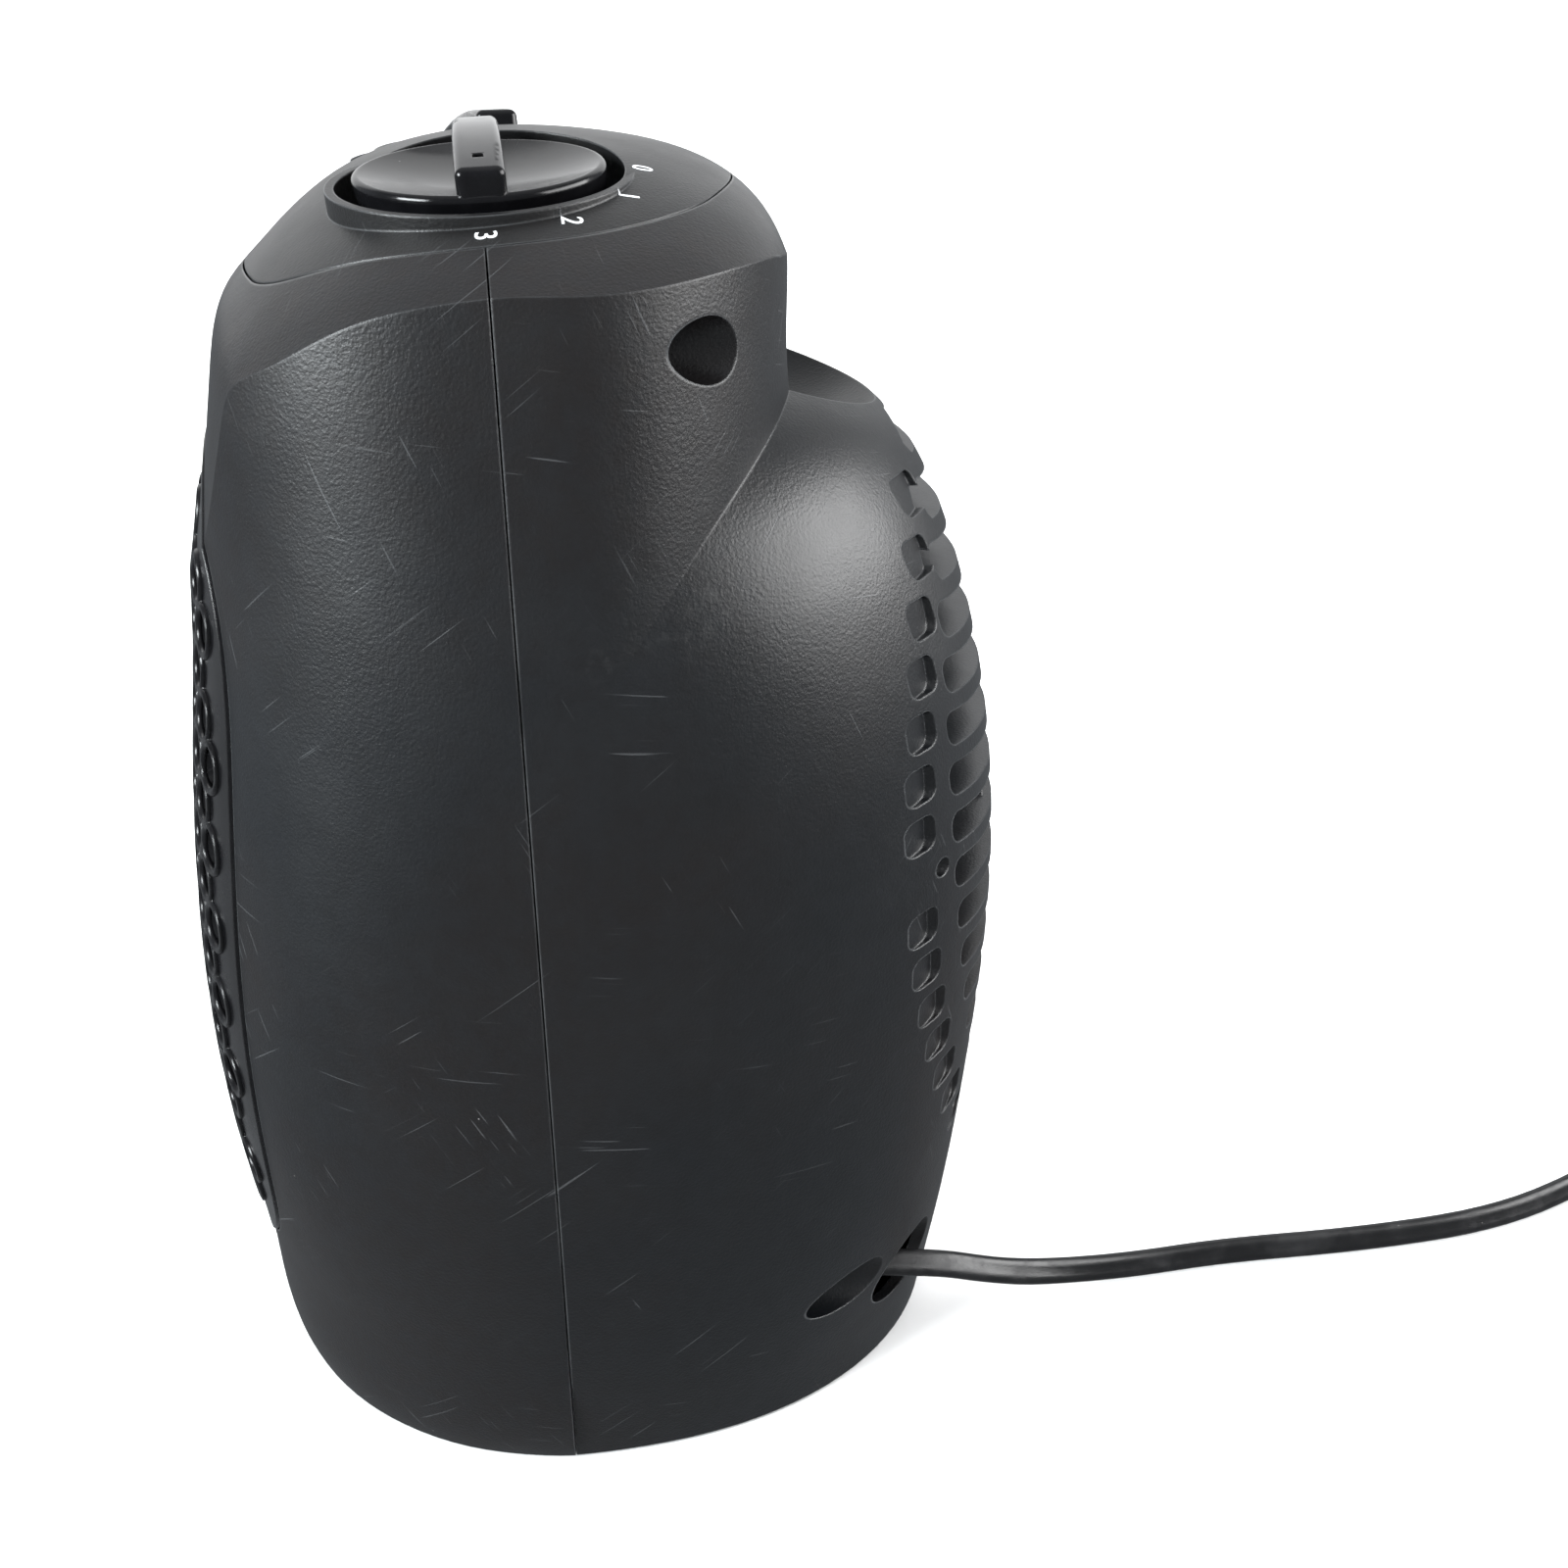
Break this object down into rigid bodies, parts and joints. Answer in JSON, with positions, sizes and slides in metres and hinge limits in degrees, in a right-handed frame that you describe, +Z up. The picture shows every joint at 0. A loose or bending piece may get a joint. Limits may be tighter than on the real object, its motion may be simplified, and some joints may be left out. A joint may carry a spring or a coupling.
{
  "type": "ceramic space heater",
  "caption": "Compact ceramic fan heater: barrel-shaped black housing with a mesh outlet in front, louvred rear inlet, dished bar-grip knobs on top and a coiled mains cord.",
  "frame": {"origin": "centre of the heater's own footprint box (cord left out), on the surface its feet stand on", "axes": "+Z up; -Y is the warm-air outlet (front grille), +Y the louvred inlet; +X is the side of the heat selector knob"},
  "size_m": [0.18, 0.5132, 0.2621],
  "materials": {
    "housing_black": "satin, fine leather grain",
    "panel_black": "satin",
    "grille_black": "gloss",
    "knob_black": "gloss",
    "shaft_plastic": "natural nylon",
    "switch_plastic": "moulded",
    "brass_tab": "plain",
    "steel_blade": "rolled",
    "frame_plastic": "heat-resistant moulding",
    "fin_aluminium": "plain",
    "stone_ceramic": "fired",
    "shroud_plastic": "moulded",
    "fan_plastic": "moulded",
    "shaft_steel": "ground",
    "motor_steel": "stamped",
    "coil_tape": "varnished copper winding",
    "bracket_aluminium": "die cast",
    "bearing_bronze": "sintered",
    "screw_steel": "black zinc",
    "foot_rubber": "matt",
    "wire_insulation": "insulation",
    "cord_rubber": "satin jacket",
    "tie_plastic": "band"
  },
  "bodies": {
    "heater": {"front_housing": "housing_black", "rear_housing": "housing_black", "control_panel": "panel_black", "front_grille": "grille_black", "selector_switch": "switch_plastic", "switch_terminals": "brass_tab", "thermostat_body": "switch_plastic", "thermostat_blade": "steel_blade", "element_frame": "frame_plastic", "heating_fins": "fin_aluminium", "ceramic_stones": "stone_ceramic", "element_terminals": "brass_tab", "thermal_cutoff": "switch_plastic", "thermal_fuse": "frame_plastic", "fan_shroud": "shroud_plastic", "motor_laminations": "motor_steel", "motor_coil": "coil_tape", "motor_front_bracket": "bracket_aluminium", "motor_rear_bracket": "bracket_aluminium", "motor_bearings": "bearing_bronze", "housing_screws": "screw_steel", "rubber_feet": "foot_rubber", "wiring": "wire_insulation", "cord_strain_relief": "cord_rubber", "power_cord": "cord_rubber", "power_cord_tail": "cord_rubber", "power_cord_coil": "cord_rubber", "cord_tie": "tie_plastic", "plug_body": "cord_rubber", "plug_blades": "brass_tab"},
    "selector": {"control_knob": "knob_black", "selector_shaft": "shaft_plastic"},
    "thermostat": {"thermostat_knob": "knob_black", "thermostat_shaft": "shaft_plastic"},
    "fan": {"fan_impeller": "fan_plastic", "motor_shaft": "shaft_steel", "motor_rotor": "motor_steel"}
  },
  "joints": [
    {"name": "selector_turn", "type": "hinge", "parent": "heater", "child": "selector", "pos_m": [0.034, -0.01715, 0.255], "axis": [0.1478, -0.0449, 0.988], "range_deg": [0, 90]},
    {"name": "thermostat_turn", "type": "hinge", "parent": "heater", "child": "thermostat", "pos_m": [-0.034, -0.01715, 0.255], "axis": [-0.1478, -0.0449, 0.988], "range_deg": [-102, 78]},
    {"name": "fan_spin", "type": "hinge", "parent": "heater", "child": "fan", "pos_m": [0, 0.01585, 0.127], "axis": [0, -1, 0], "continuous": true}
  ]
}
